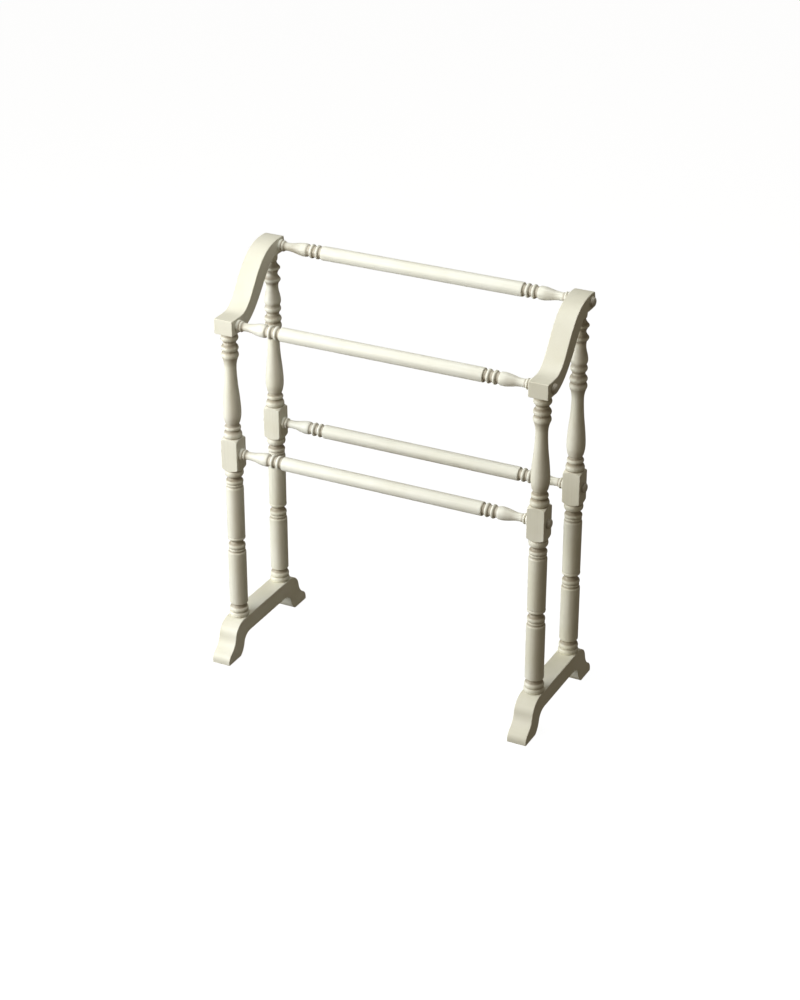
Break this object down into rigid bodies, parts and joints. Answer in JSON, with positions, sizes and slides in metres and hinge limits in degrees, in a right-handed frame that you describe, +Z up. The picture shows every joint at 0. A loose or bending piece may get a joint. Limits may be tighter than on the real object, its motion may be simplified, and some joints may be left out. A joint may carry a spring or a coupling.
{
  "type": "quilt rack",
  "caption": "Free-standing painted wood rack with four turned cross rails between two side frames of turned posts, sawn feet and S-shaped scroll arms.",
  "frame": {"origin": "on the floor, under the middle of the rack", "axes": "+Z up, +X along the rails from the left frame to the right frame, -Y the low front of the scroll arms"},
  "size_m": [0.7112, 0.3174, 0.8382],
  "materials": {
    "painted_wood": "satin antique-white paint",
    "screw_steel": "zinc-plated"
  },
  "bodies": {
    "root": {"left_foot": "painted_wood", "right_foot": "painted_wood", "left_front_post": "painted_wood", "left_rear_post": "painted_wood", "right_front_post": "painted_wood", "right_rear_post": "painted_wood", "left_scroll_arm": "painted_wood", "right_scroll_arm": "painted_wood", "top_front_rail": "painted_wood", "top_rear_rail": "painted_wood", "lower_front_rail": "painted_wood", "lower_rear_rail": "painted_wood", "left_top_front_button": "painted_wood", "left_top_rear_button": "painted_wood", "left_lower_front_button": "painted_wood", "left_lower_rear_button": "painted_wood", "right_top_front_button": "painted_wood", "right_top_rear_button": "painted_wood", "right_lower_front_button": "painted_wood", "right_lower_rear_button": "painted_wood", "left_top_front_screw": "screw_steel", "left_top_rear_screw": "screw_steel", "left_lower_front_screw": "screw_steel", "left_lower_rear_screw": "screw_steel", "right_top_front_screw": "screw_steel", "right_top_rear_screw": "screw_steel", "right_lower_front_screw": "screw_steel", "right_lower_rear_screw": "screw_steel"}
  },
  "joints": []
}
